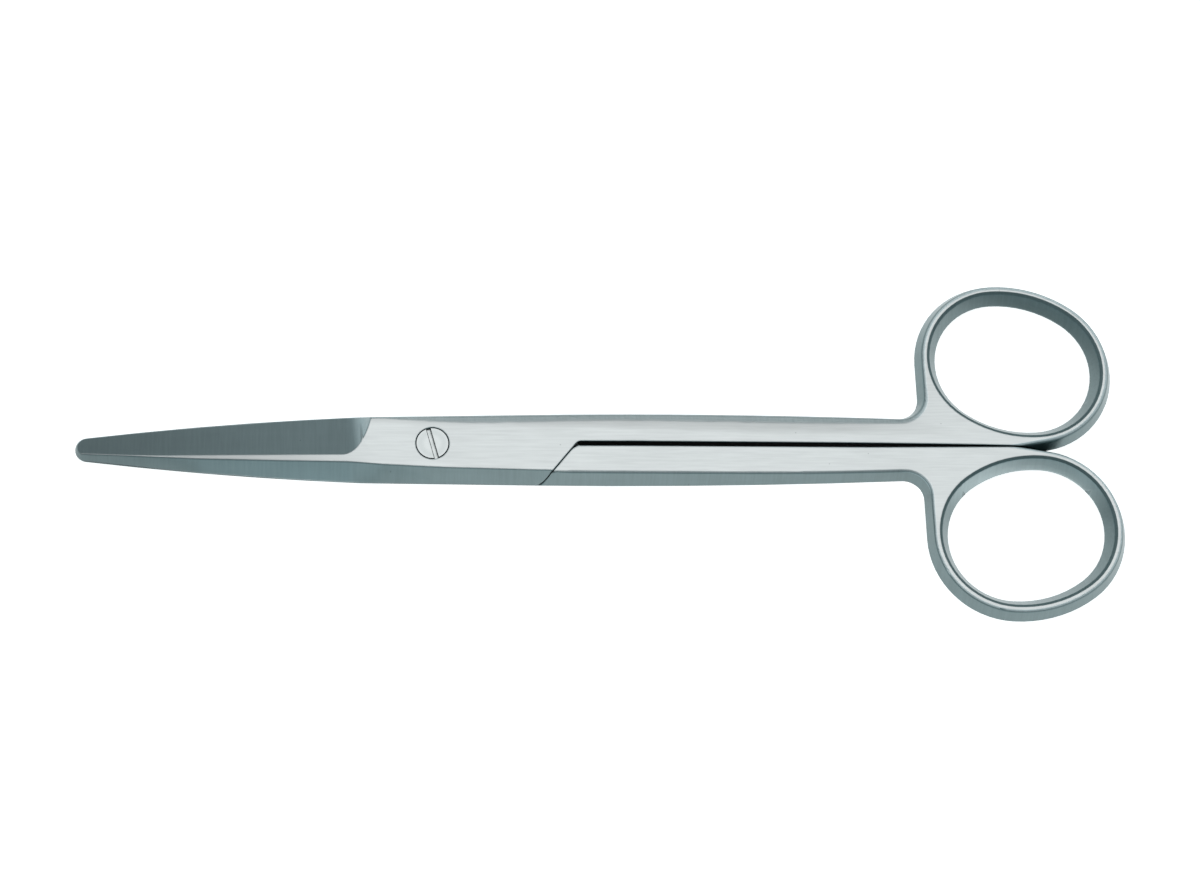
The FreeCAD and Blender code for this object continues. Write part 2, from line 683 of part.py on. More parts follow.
def make_screw():
    """Slotted pivot screw: a flat head, a smooth journal that the upper half turns on, and a threaded end."""
    body = doc.addObject("PartDesign::Body", "pivot_screw")
    body.Label = "pivot_screw"
    profile = new_sketch(body, "screw_profile", "XZ_Plane")
    under_head = "half_thickness - head_height"
    seat = "-running_clearance / 2"
    start = ("0", "half_thickness")
    corners = (
        ("head_radius", "half_thickness"),
        ("head_radius", under_head),
        ("journal_radius", under_head),
        ("journal_radius", seat),
        ("thread_radius", seat),
        ("thread_radius", "screw_chamfer - half_thickness"),
        ("thread_radius - screw_chamfer", "-half_thickness"),
        ("0", "-half_thickness"),
        start,
    )
    draw_loop(profile, start, [(corner,) for corner in corners])
    turned = body.newObject("PartDesign::Revolution", "screw_turned")
    turned.Profile = profile
    turned.ReferenceAxis = (profile, ["V_Axis"])
    turned.Angle = 360
    offset = "placement(vector(0; 0; half_thickness); rotation(vector(0; 0; 1); slot_angle))"
    slot = new_sketch(body, "slot_sketch", "XY_Plane", offset)
    half, reach = "slot_width / 2", "(head_radius + slot_width)"
    start = ("-" + half, "-" + reach)
    corners = ((half, "-" + reach), (half, reach), ("-" + half, reach), start)
    draw_loop(slot, start, [(corner,) for corner in corners])
    cut(body, "slot", slot, "slot_depth")
    return body


upper = make_half("upper_half", "upper_ring_offset", "ring_gap / 2 - ring_drop")
drill(upper, "screw_bore", "journal_radius + screw_clearance", "half_thickness + beyond", "2 * beyond")
drill(
    upper, "screw_seat", "head_radius + head_clearance", "half_thickness + beyond",
    "beyond + head_height + screw_clearance",
)
lower = make_half("lower_half", "lower_ring_offset", "ring_gap / 2 + ring_drop")
drill(lower, "screw_thread_hole", "thread_radius + thread_clearance", "half_thickness + beyond", "3 * beyond")
screw = make_screw()

upper.setExpression("Placement", bound("placement(vector(0; 0; half_thickness); rotation(vector(1; 0; 0); 0))"))
lower.setExpression("Placement", bound("placement(vector(0; 0; half_thickness); rotation(vector(1; 0; 0); 180))"))
screw.setExpression("Placement", bound("placement(vector(0; 0; half_thickness); rotation(vector(1; 0; 0); 0))"))
doc.recompute()

for item in doc.Objects:
    faults = [state for state in item.State if state in ("Invalid", "Error")]
    if faults:
        raise RuntimeError("%s is %s" % (item.Label, ", ".join(faults)))

os.makedirs("parts", exist_ok=True)
for body in (upper, lower, screw):
    shape = body.Shape
    if shape.isNull() or not shape.isValid():
        raise RuntimeError("%s has no valid shape" % body.Label)
    if len(shape.Solids) != 1:
        raise RuntimeError("%s is in %d pieces" % (body.Label, len(shape.Solids)))
    shape.exportStep("parts/%s.step" % body.Label)
    print("%s %.1f mm3" % (body.Label, shape.Volume))
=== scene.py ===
"""Looks of the dissecting scissors: satin steel halves, a slotted and threaded pivot screw, and a white table top."""

import math

import bmesh
import bpy
from mathutils import Matrix, Vector


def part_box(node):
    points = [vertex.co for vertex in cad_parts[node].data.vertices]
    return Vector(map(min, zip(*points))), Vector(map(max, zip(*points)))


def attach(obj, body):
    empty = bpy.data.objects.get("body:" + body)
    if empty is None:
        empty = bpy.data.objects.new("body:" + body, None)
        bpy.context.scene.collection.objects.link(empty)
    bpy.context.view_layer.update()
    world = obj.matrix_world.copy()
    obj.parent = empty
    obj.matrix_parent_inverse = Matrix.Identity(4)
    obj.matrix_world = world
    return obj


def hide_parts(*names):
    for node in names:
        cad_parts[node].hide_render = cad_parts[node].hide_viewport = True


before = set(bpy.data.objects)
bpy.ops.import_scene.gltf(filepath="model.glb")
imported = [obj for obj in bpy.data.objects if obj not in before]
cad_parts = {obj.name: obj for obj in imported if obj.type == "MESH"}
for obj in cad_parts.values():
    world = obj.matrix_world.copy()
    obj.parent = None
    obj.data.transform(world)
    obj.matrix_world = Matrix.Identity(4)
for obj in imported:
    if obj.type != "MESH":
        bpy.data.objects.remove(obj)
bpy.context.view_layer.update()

bl_info = {
    "name": "Dissecting scissors",
    "version": (1, 0, 0),
    "blender": (4, 5, 0),
    "location": "3D View > Sidebar > Scissors",
    "description": "Finishes the dissecting scissors and builds their screw, table, lamp and camera",
    "category": "Object",
}

MM = 0.001
HALVES = {"upper_half": "upper", "lower_half": "lower"}
SAME_SPOT = 0.001 * MM
SAME_PLANE = 0.5  # degrees
CRISP, BROKEN = 19.5, 35  # degrees: edges of the facet stay crisp, sharper ones are broken
RING_SIDE = 7 * MM  # the rings lie further out; their edges are rounded in the CAD already
RING_MIDDLE = (96.6 * MM, 14.6 * MM)
SCREW_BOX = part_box("pivot_screw")
SCREW_TOP = SCREW_BOX[1][2] / MM
HEAD_RADIUS = SCREW_BOX[1][0] / MM
HEAD_STEPS = 96  # segments round the turned screw
TURN_STEPS = 48  # segments in one turn of the thread
SCREW_CORNER = 30  # degrees: the turned screw is smooth below this
TABLE_GAP = 0.02 * MM  # the table lies this far under the back faces

# A limit is a value, where it starts to count and where it counts in full. The values are places along x and y,
# how level a surface lies and how far it leans sideways (0 to 1), whether it faces out of its ring or into it
# (1 to -1), and the height over a line along the upper shank.
LEANING = ("sideways", 0.27, 0.33)
FLAT = ("level", 0.97, 0.995)
RINGS = ("x", 72 * MM, 84 * MM)
BLADE = ("x", -7.8 * MM, -8.8 * MM)
FORGED = ("x", -8.8 * MM, -7.8 * MM)
RIM_SLOPE = 0.025  # fall of the line along the upper shank
# A turned surface less level than the first limit is painted dark as shade; one past the second keeps its own bright
# faced colour.
FACED_OVER_PAINTED_SHADE = (0.72, 0.95)  # a turned surface less level than the first is dark, one past the second is bright

# Each zone of the finish lies where all of its limits hold.
ZONES = {
    # The sides, ground bevel, far opening, ring edges, ring chamfers and facet zones carry painted shade and painted
    # light, set by how the surface tilts; the faces zone has the steel's own colour.
    "sides": (("level", 0.05, 0.15),),
    "ground bevel": (("level", 0.55, 0.635), ("x", 4 * MM, -9 * MM)),
    "far opening": (
        ("level", 0.4, 0.5), ("x", 74 * MM, 82 * MM), ("y", -12 * MM, -5 * MM), ("y", -1.5 * MM, -2.5 * MM),
    ),
    "faces": (("level", 0.64, 0.96),),
    "ring edges": (("level", 0.78, 0.92), ("level", 0.999, 0.985), RINGS, ("outwards", -0.1, 0.1)),
    "ring chamfers": (("level", 0.7, 0.8), RINGS, ("outwards", -0.15, -0.35)),
    "cross grain": (LEANING,),
    "facet": (LEANING, BLADE, ("level", 0.8, 0.9)),
    # Painted shade: the level face grows darker towards the upper shank's edge.
    "painted shank shade": (FLAT, ("x", 96 * MM, 58 * MM), ("over rim line", 2.4 * MM, 4.8 * MM)),
    # Painted shade: the level strip along the blade's ridge is darkened.
    "painted blade ridge shade": (FLAT, ("x", -6 * MM, -26 * MM)),
    "crown": (FORGED, ("level", 0.6, 0.75), ("level", 0.998, 0.97)),
}

# What shades the finish: a value or zone with its two ends, and the share of the light that is left at each. The grain,
# clouds and specks vary the steel's own tone; the rows for the shank's rim, the blade's ridge and x are painted shade.
CLOUD_LENGTH, CLOUD_WIDTH = 14, 3  # mm
SPECK_CORE, SPECK_EDGE, SPECK_SPACING = 0.052, 0.143, 13  # mm
SHADES = {
    "grain": (0.25, 0.75, 0.94, 1.04),
    "clouds": (0.3, 0.7, 0.97, 1.02),
    "specks": (SPECK_CORE / SPECK_SPACING, SPECK_EDGE / SPECK_SPACING, 0.7, 1),
    "painted shank shade": (0, 1, 1, 0.78),
    "painted blade ridge shade": (0, 1, 1, 0.78),
    # Painted shade: the blade grows darker towards its tip.
    "x": (-57 * MM, -16 * MM, 0.75, 1),
}


def linear(hex_colour):
    """Linear colour with alpha of an sRGB hex value."""
    parts = [int(hex_colour[i : i + 2], 16) / 255 for i in (1, 3, 5)]
    return [c / 12.92 if c <= 0.04045 else ((c + 0.055) / 1.055) ** 2.4 for c in parts] + [1.0]


def add_node(tree, kind, inputs=None, **settings):
    """Node with its settings, each of its inputs given a value or linked from another node's socket."""
    node = tree.nodes.new(kind)
    for name, value in settings.items():
        setattr(node, name, value)
    for socket, source in (inputs or {}).items():
        if isinstance(source, bpy.types.NodeSocket):
            tree.links.new(source, node.inputs[socket])
        else:
            node.inputs[socket].default_value = source
    return node


def new_material(name):
    """Empty node material and its node tree."""
    material = bpy.data.materials.new(name)
    material.use_nodes = True
    material.node_tree.nodes.clear()
    return material, material.node_tree


class ScissorsFinish(bpy.types.PropertyGroup):
    face_colour: bpy.props.StringProperty(
        name="Face", description="Reflection of the satin faces, sRGB hex", default="#CFCFCE"
    )
    # The sides' colour is painted shade: the drafted sides, bevels and ring chamfers are painted darker than the faces.
    painted_shade_side_colour: bpy.props.StringProperty(
        name="Sides", description="Reflection of the drafted sides and bevels, sRGB hex", default="#748182"
    )
    # The ground bevel's colour is painted light: the blade's bevel is painted lighter than the other sides, to even out
    # its brightness along its length.
    bevel_painted_light_colour: bpy.props.StringProperty(
        name="Ground bevel", description="Reflection of the blade's ground bevel, sRGB hex", default="#929D9E"
    )
    # The ring edges' colour is a painted highlight: the rings' tilted edges are painted lighter than the faces.
    ring_painted_highlight_colour: bpy.props.StringProperty(
        name="Ring edges", description="Reflection of the polished edges of the rings, sRGB hex", default="#E4E8E8"
    )
    # The far ring's opening colour is painted light: the walls of the opening are painted lighter than the other sides.
    opening_painted_light_colour: bpy.props.StringProperty(
        name="Ring opening", description="Reflection of the far ring's opening, sRGB hex", default="#A6B2B3"
    )
    # The facet's colour is painted shade: the blade's ground facet is painted darker than the faces.
    facet_painted_shade_colour: bpy.props.StringProperty(
        name="Facet", description="Reflection of the blade's ground facet, sRGB hex", default="#A7ACAC"
    )
    # The joint walls' colour is painted shade: the walls in the slit and the joint are painted dark where shade falls
    # in the gap.
    painted_shade_wall_colour: bpy.props.StringProperty(
        name="Joint walls", description="Reflection of the walls in the slit and the joint, sRGB hex", default="#161D20"
    )
    roughness: bpy.props.FloatProperty(
        name="Roughness", description="Roughness of the satin finish", default=0.3, min=0.05, max=0.8
    )
    crown_roughness: bpy.props.FloatProperty(
        name="Crown roughness", description="Roughness of the rounded forged edges", default=0.52, min=0.05, max=0.8
    )
    wall_roughness: bpy.props.FloatProperty(
        name="Wall roughness", description="Roughness that the walls in the joint have above the rest", default=0.5
    )
    broken_edge: bpy.props.FloatProperty(
        name="Broken edges", description="Width of the rounding on sharp edges in millimetres", default=0.08
    )
    worn_edge: bpy.props.FloatProperty(
        name="Worn edges", description="Radius of the softness that edges show in millimetres", default=0.35
    )
    streak_width: bpy.props.FloatProperty(
        name="Streak width", description="Spacing of the satin streaks in millimetres", default=0.35
    )
    streak_length: bpy.props.FloatProperty(
        name="Streak length", description="Length of the satin streaks in millimetres", default=7.0
    )
    streak_depth: bpy.props.FloatProperty(
        name="Streak depth", description="Depth of the satin streaks in millimetres", default=0.02
    )


class ScissorsScrew(bpy.types.PropertyGroup):
    journal_radius: bpy.props.FloatProperty(
        name="Journal", description="Radius of the smooth part in millimetres", default=1.8
    )
    journal_end: bpy.props.FloatProperty(
        name="Journal end", description="Height of the journal's lower end in millimetres", default=3.18
    )
    head_height: bpy.props.FloatProperty(name="Head height", description="In millimetres", default=1.2)
    head_chamfer: bpy.props.FloatProperty(
        name="Head chamfer", description="Broken edge of the head in millimetres", default=0.05
    )
    chamfer: bpy.props.FloatProperty(
        name="Chamfer", description="Broken edge of the slot and of the thread's ends in millimetres", default=0.1
    )
    slot_width: bpy.props.FloatProperty(name="Slot width", description="In millimetres", default=0.6)
    slot_depth: bpy.props.FloatProperty(name="Slot depth", description="In millimetres", default=0.6)
    slot_angle: bpy.props.FloatProperty(
        name="Slot angle", description="Turn of the slot from across the shanks in degrees", default=14.2
    )
    thread_radius: bpy.props.FloatProperty(
        name="Thread radius", description="Over the crests, in millimetres", default=1.5
    )
    thread_pitch: bpy.props.FloatProperty(name="Thread pitch", description="In millimetres", default=0.5)
    faced_colour: bpy.props.StringProperty(
        name="Faced", description="Reflection of the faced head, sRGB hex", default="#D2D2D1"
    )
    mark_colour: bpy.props.StringProperty(
        name="Tool marks", description="Reflection of the rings that the tool leaves, sRGB hex", default="#C8C9C8"
    )
    # The slot walls' colour is painted shade on the screw's upright walls and broken edges.
    painted_shade_slot_colour: bpy.props.StringProperty(
        name="Slot walls", description="Reflection of upright walls and broken edges, sRGB hex", default="#2A3133"
    )
    mark_spacing: bpy.props.FloatProperty(
        name="Mark spacing", description="Between the rings that the tool leaves, in millimetres", default=1.885
    )
    roughness: bpy.props.FloatProperty(
        name="Roughness", description="Roughness of the turned steel", default=0.27, min=0.05, max=0.8
    )


class ScissorsStage(bpy.types.PropertyGroup):
    floor_size: bpy.props.FloatProperty(
        name="Floor", description="Side of the square table top", default=4.0, unit="LENGTH"
    )
    paper_colour: bpy.props.StringProperty(
        name="Paper", description="Colour of the table top, sRGB hex", default="#F4F4F4"
    )
    paper_glow: bpy.props.FloatProperty(
        name="Paper glow", description="Light that the camera and reflections see in the table top", default=0.85
    )
    camera_distance: bpy.props.FloatProperty(
        name="Camera distance", description="From the camera to the middle of the view", default=0.52, unit="LENGTH"
    )
    camera_lean_x: bpy.props.FloatProperty(
        name="Lean along", description="Tangent of the camera's lean towards the tips", default=0.10
    )
    camera_lean_y: bpy.props.FloatProperty(
        name="Lean down", description="Tangent of the camera's lean towards the lower ring", default=0.38
    )
    view_middle: bpy.props.FloatVectorProperty(
        name="Middle of the view", description="What the camera looks at, in millimetres", default=(27.379, 0.545, 3.2)
    )
    lens: bpy.props.FloatProperty(name="Lens", description="Focal length in millimetres", default=95.9)
    lamp_width: bpy.props.FloatProperty(
        name="Softbox width", description="Along the scissors", default=0.95, unit="LENGTH"
    )
    lamp_depth: bpy.props.FloatProperty(
        name="Softbox depth", description="Across the scissors", default=0.62, unit="LENGTH"
    )
    lamp_place: bpy.props.FloatVectorProperty(
        name="Softbox place", description="Middle of the softbox", default=(0.10, 0.26, 0.75), unit="LENGTH"
    )
    lamp_target: bpy.props.FloatVectorProperty(
        name="Softbox target", description="What the softbox faces", default=(0.03, 0.0, 0.0), unit="LENGTH"
    )
    key_power: bpy.props.FloatProperty(name="Key light", description="Radiant power in watts", default=1.8)
    room_colour: bpy.props.StringProperty(
        name="Room", description="Colour of the room's light, sRGB hex", default="#DAF8FF"
    )
    room_light: bpy.props.FloatProperty(name="Room light", description="Strength of the dim room", default=0.32)
    low_light: bpy.props.FloatProperty(
        name="Low light", description="Strength of the room near the level of the table", default=0.85
    )
    low_limit: bpy.props.FloatProperty(
        name="Low limit", description="Sine of the height in the room where the low light ends", default=0.12
    )
    high_limit: bpy.props.FloatProperty(
        name="High limit", description="Sine of the height where only the room light is left", default=0.4
    )


def streaks(tree, place, along, across):
    """Noise drawn out into streaks, from about 0 to 1: its scale along the three axes is one streak."""
    scale = add_node(
        tree, "ShaderNodeMapping",
        {"Vector": place, "Scale": (1 / (along * MM), 1 / (across * MM), 1 / (across * MM))},
    )
    noise = add_node(
        tree, "ShaderNodeTexNoise", {"Vector": scale.outputs[0], "Scale": 1.0, "Detail": 3.0, "Roughness": 0.6}
    )
    return noise.outputs["Fac"]


def outwards(tree, spot, tilt):
    """How far a surface faces away from the middle of its own ring, from -1 to 1."""
    side = add_node(tree, "ShaderNodeMath", {0: spot.outputs["Y"]}, operation="SIGN")
    height = add_node(tree, "ShaderNodeMath", {0: side.outputs[0], 1: RING_MIDDLE[1]}, operation="MULTIPLY")
    middle = add_node(tree, "ShaderNodeCombineXYZ", {"X": RING_MIDDLE[0], "Y": height.outputs[0]})
    place = add_node(tree, "ShaderNodeCombineXYZ", {"X": spot.outputs["X"], "Y": spot.outputs["Y"]})
    arm = add_node(
        tree, "ShaderNodeVectorMath", {0: place.outputs[0], 1: middle.outputs[0]}, operation="SUBTRACT"
    )
    arm = add_node(tree, "ShaderNodeVectorMath", {0: arm.outputs[0]}, operation="NORMALIZE")
    flat = add_node(tree, "ShaderNodeCombineXYZ", {"X": tilt.outputs["X"], "Y": tilt.outputs["Y"]})
    facing = add_node(
        tree, "ShaderNodeVectorMath", {0: arm.outputs[0], 1: flat.outputs[0]}, operation="DOT_PRODUCT"
    )
    return facing.outputs["Value"]


def satin_steel(finish):
    """Martensitic stainless steel, satin finished on a fine belt.

    The belt leaves soft streaks along the faces and cross streaks on the ground edge of the blade. The forged sides
    stay coarser and are painted greyer as shade, and the upright walls in the joint are painted dark as shade.
    """
    material, tree = new_material("stainless_steel_satin")
    place = add_node(tree, "ShaderNodeTexCoord")
    tilt = add_node(tree, "ShaderNodeSeparateXYZ", {"Vector": place.outputs["Normal"]})
    spot = add_node(tree, "ShaderNodeSeparateXYZ", {"Vector": place.outputs["Object"]})
    values = {"x": spot.outputs["X"], "y": spot.outputs["Y"], "outwards": outwards(tree, spot, tilt)}
    for name, axis in (("level", "Z"), ("sideways", "Y")):
        values[name] = add_node(tree, "ShaderNodeMath", {0: tilt.outputs[axis]}, operation="ABSOLUTE").outputs[0]
    rim = add_node(
        tree, "ShaderNodeMath", {0: values["x"], 1: RIM_SLOPE, 2: values["y"]}, operation="MULTIPLY_ADD"
    )
    values["over rim line"] = rim.outputs[0]
    for zone, limits in ZONES.items():
        values[zone] = 1.0
        for value, start, full in limits:
            step = add_node(
                tree, "ShaderNodeMapRange", {"Value": values[value], "From Min": start, "From Max": full},
                interpolation_type="SMOOTHSTEP",
            )
            both = add_node(
                tree, "ShaderNodeMath", {0: values[zone], 1: step.outputs["Result"]}, operation="MULTIPLY"
            )
            values[zone] = both.outputs[0]

    # The belt's real scratches are some 0.03 mm wide, too fine to show, so the streaks are drawn wider.
    along = streaks(tree, place.outputs["Object"], finish.streak_length, finish.streak_width)
    across = streaks(tree, place.outputs["Object"], finish.streak_width, finish.streak_length)
    grain = add_node(tree, "ShaderNodeMix", {"Factor": values["cross grain"], "A": along, "B": across})
    specks = add_node(
        tree, "ShaderNodeTexVoronoi", {"Vector": place.outputs["Object"], "Scale": 1 / (SPECK_SPACING * MM)},
        voronoi_dimensions="2D",
    )
    values["grain"] = grain.outputs["Result"]
    values["clouds"] = streaks(tree, place.outputs["Object"], CLOUD_LENGTH, CLOUD_WIDTH)
    values["specks"] = specks.outputs["Distance"]
    shade = 1.0
    for value, (start, end, light_at_start, light_at_end) in SHADES.items():
        step = add_node(
            tree, "ShaderNodeMapRange",
            {
                "Value": values[value], "From Min": start, "From Max": end,
                "To Min": light_at_start, "To Max": light_at_end,
            },
            interpolation_type="SMOOTHSTEP",
        )
        both = add_node(tree, "ShaderNodeMath", {0: shade, 1: step.outputs["Result"]}, operation="MULTIPLY")
        shade = both.outputs[0]

    # A Mix node's colours are its inputs 6 and 7 and its output 2. Each zone's colour lies over those before it. The
    # first colour is the painted shade of the upright walls in the joint. The faces' colour is the steel's own, and the
    # other zones' colours are painted shade and painted light, set by how the surface tilts.
    colour = linear(finish.painted_shade_wall_colour)
    for zone, hex_colour in (
        ("sides", finish.painted_shade_side_colour),
        ("ground bevel", finish.bevel_painted_light_colour),
        ("far opening", finish.opening_painted_light_colour),
        ("faces", finish.face_colour),
        ("ring edges", finish.ring_painted_highlight_colour),
        ("ring chamfers", finish.painted_shade_side_colour),
        ("facet", finish.facet_painted_shade_colour),
    ):
        mix = add_node(
            tree, "ShaderNodeMix", {0: values[zone], 6: colour, 7: linear(hex_colour)}, data_type="RGBA"
        )
        colour = mix.outputs[2]
    shaded = add_node(tree, "ShaderNodeMix", {0: 1.0, 6: colour, 7: shade}, data_type="RGBA", blend_type="MULTIPLY")

    crown = add_node(
        tree, "ShaderNodeMapRange",
        {"Value": values["crown"], "To Min": finish.roughness, "To Max": finish.crown_roughness},
        interpolation_type="SMOOTHSTEP",
    )
    walls = add_node(
        tree, "ShaderNodeMapRange", {"Value": values["sides"], "To Min": finish.wall_roughness, "To Max": 0.0}
    )
    roughness = add_node(
        tree, "ShaderNodeMath", {0: crown.outputs["Result"], 1: walls.outputs["Result"]}, operation="ADD"
    )
    worn = add_node(tree, "ShaderNodeBevel", {"Radius": finish.worn_edge * MM}, samples=8)
    bump = add_node(
        tree, "ShaderNodeBump",
        {
            "Height": values["grain"], "Normal": worn.outputs[0],
            "Strength": 0.08, "Distance": finish.streak_depth * MM,
        },
    )
    steel = add_node(
        tree, "ShaderNodeBsdfPrincipled",
        {
            "Base Color": shaded.outputs[2], "Metallic": 1.0,
            "Roughness": roughness.outputs[0], "Normal": bump.outputs[0],
        },
    )
    add_node(tree, "ShaderNodeOutputMaterial", {"Surface": steel.outputs[0]})
    return material


def turned_steel(screw):
    """Stainless steel, turned in a lathe and faced.

    The faces are bright, with the faint rings of the tool. Broken edges and upright walls are painted dark as shade.
    """
    material, tree = new_material("stainless_steel_turned")
    place = add_node(tree, "ShaderNodeTexCoord")
    # The tool's real rings are some 0.1 mm apart, too fine to show, so they are drawn further apart. The texture
    # draws 20 radians of its wave in a unit of length.
    marks = add_node(
        tree, "ShaderNodeTexWave",
        {
            "Vector": place.outputs["Object"], "Scale": math.tau / (20 * screw.mark_spacing * MM),
            "Distortion": 0.4,
        },
        wave_type="RINGS", rings_direction="Z",
    )
    faced = add_node(
        tree, "ShaderNodeMix",
        {0: marks.outputs["Fac"], 6: linear(screw.mark_colour), 7: linear(screw.faced_colour)}, data_type="RGBA",
    )
    tilt = add_node(tree, "ShaderNodeSeparateXYZ", {"Vector": place.outputs["Normal"]})
    level = add_node(tree, "ShaderNodeMath", {0: tilt.outputs["Z"]}, operation="ABSOLUTE")
    step = add_node(
        tree, "ShaderNodeMapRange", {"Value": level.outputs[0], "From Min": FACED_OVER_PAINTED_SHADE[0], "From Max": FACED_OVER_PAINTED_SHADE[1]},
        interpolation_type="SMOOTHSTEP",
    )
    # Painted shade: upright walls and broken edges take the dark slot colour.
    colour = add_node(
        tree, "ShaderNodeMix",
        {0: step.outputs["Result"], 6: linear(screw.painted_shade_slot_colour), 7: faced.outputs[2]}, data_type="RGBA",
    )
    steel = add_node(
        tree, "ShaderNodeBsdfPrincipled",
        {"Base Color": colour.outputs[2], "Metallic": 1.0, "Roughness": screw.roughness},
    )
    add_node(tree, "ShaderNodeOutputMaterial", {"Surface": steel.outputs[0]})
    return material


def broken_edges(node, width):
    """Merged copy of a half whose sharp edges are rounded, kept inside the half's own box."""
    work = bmesh.new()
    work.from_mesh(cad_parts[node].data)
    bmesh.ops.remove_doubles(work, verts=work.verts, dist=SAME_SPOT)
    bmesh.ops.dissolve_limit(
        work, angle_limit=math.radians(SAME_PLANE), verts=work.verts[:], edges=work.edges[:]
    )
    weight = work.edges.layers.float.new("bevel_weight_edge")
    for edge in work.edges:
        angle = math.degrees(edge.calc_face_angle(0))
        broken = angle > BROKEN and min(abs(vert.co.y) for vert in edge.verts) < RING_SIDE
        edge[weight] = float(broken)
        edge.smooth = broken or angle < CRISP
    for face in work.faces:
        face.smooth = True
    mesh = bpy.data.meshes.new(node)
    work.to_mesh(mesh)
    work.free()
    blank = bpy.data.objects.new(node, mesh)
    bpy.context.scene.collection.objects.link(blank)
    edges = blank.modifiers.new("broken_edges", "BEVEL")
    edges.width = width
    edges.segments = 2
    edges.limit_method = "WEIGHT"
    edges.use_clamp_overlap = False
    flats = blank.modifiers.new("flat_faces", "WEIGHTED_NORMAL")
    flats.mode = "FACE_AREA"
    flats.keep_sharp = True
    piece = plain_mesh(blank, "satin_" + node)
    low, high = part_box(node)
    for vert in piece.data.vertices:
        vert.co = [min(max(c, a), b) for c, a, b in zip(vert.co, low, high)]
    return piece


class SCISSORS_OT_finish_halves(bpy.types.Operator):
    """Break the edges of both forged halves and give them their satin finish"""

    bl_idname = "scissors.finish_halves"
    bl_label = "Finish halves"

    def execute(self, context):
        finish = context.scene.scissors_finish
        steel = satin_steel(finish)
        for node, body in HALVES.items():
            piece = broken_edges(node, finish.broken_edge * MM)
            piece.data.materials.clear()
            piece.data.materials.append(steel)
            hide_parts(node)
            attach(piece, body)
        return {"FINISHED"}


def lathe(name, profile, segments):
    """Closed solid turned about the vertical axis: the profile runs from its top to its bottom, in millimetres."""
    top, *rings, bottom = profile
    verts = [(0, 0, top[1] * MM), (0, 0, bottom[1] * MM)]
    for radius, height in rings:
        for step in range(segments):
            angle = 2 * math.pi * step / segments
            verts.append((radius * MM * math.cos(angle), radius * MM * math.sin(angle), height * MM))
    faces = []
    last = 2 + (len(rings) - 1) * segments
    for step in range(segments):
        after = (step + 1) % segments
        faces.append((0, 2 + step, 2 + after))
        for ring in range(len(rings) - 1):
            high, low = 2 + ring * segments, 2 + (ring + 1) * segments
            faces.append((high + step, low + step, low + after, high + after))
        faces.append((last + after, last + step, 1))
    mesh = bpy.data.meshes.new(name)
    mesh.from_pydata(verts, [], faces)
    return mesh


def slot_cutter(screw):
    """Prism that cuts the screwdriver slot, with a broken edge along both sides."""
    half, depth, broken = screw.slot_width / 2, screw.slot_depth, screw.chamfer
    section = [
        (-half, SCREW_TOP - depth),
        (half, SCREW_TOP - depth),
        (half, SCREW_TOP - broken),
        (half + 2 * broken, SCREW_TOP + broken),
        (-half - 2 * broken, SCREW_TOP + broken),
        (-half, SCREW_TOP - broken),
    ]
    reach = 2 * HEAD_RADIUS
    verts = [(x * MM, y * MM, z * MM) for y in (-reach, reach) for x, z in section]
    count = len(section)
    sides = [(i, count + i, count + (i + 1) % count, (i + 1) % count) for i in range(count)]
    mesh = bpy.data.meshes.new("slot_cutter")
    mesh.from_pydata(verts, [], [tuple(range(count)), tuple(reversed(range(count, 2 * count)))] + sides)
    mesh.transform(Matrix.Rotation(math.radians(screw.slot_angle), 4, "Z"))
    return bpy.data.objects.new("slot_cutter", mesh)


